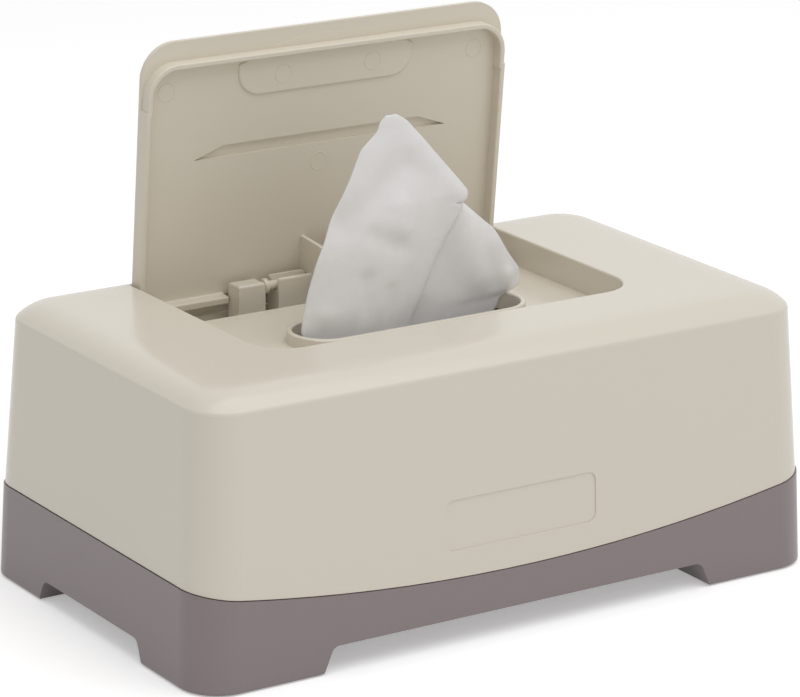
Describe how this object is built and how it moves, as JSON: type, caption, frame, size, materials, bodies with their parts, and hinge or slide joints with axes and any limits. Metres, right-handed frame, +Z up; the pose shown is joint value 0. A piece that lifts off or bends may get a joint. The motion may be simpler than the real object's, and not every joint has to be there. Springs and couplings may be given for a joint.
{
  "type": "baby wipes box",
  "caption": "Plastic box for baby wipes: a lift-off hood on a footed tray, a hinged lid over a rimmed slot, and a wipe pulled halfway through it.",
  "frame": {"origin": "centre of the box's footprint, on the surface it rests on", "axes": "+X to the right along the front, +Y from the front to the back, +Z up"},
  "size_m": [0.2298, 0.1366, 0.1701],
  "materials": {
    "base_plastic": "gloss",
    "hood_plastic": "gloss",
    "lid_plastic": "satin",
    "pad_rubber": "matte",
    "wipe_fabric": "matte"
  },
  "bodies": {
    "tray": {"base_tray": "base_plastic", "foot_pad_front_left": "pad_rubber", "foot_pad_front_right": "pad_rubber", "foot_pad_back_left": "pad_rubber", "foot_pad_back_right": "pad_rubber", "wipes_stack": "wipe_fabric"},
    "hood": {"hood": "hood_plastic", "pulled_wipe": "wipe_fabric"},
    "lid": {"lid": "lid_plastic", "hinge_rod": "lid_plastic"}
  },
  "joints": [
    {"name": "hood_lift", "type": "slide", "parent": "tray", "child": "hood", "axis": [0, 0, 1], "range_m": [0, 0.1]},
    {"name": "lid_hinge", "type": "hinge", "parent": "hood", "child": "lid", "pos_m": [0, 0.0475, 0.0852], "axis": [1, 0, 0], "range_deg": [0, 84.8], "deforming": ["pulled_wipe"]}
  ]
}
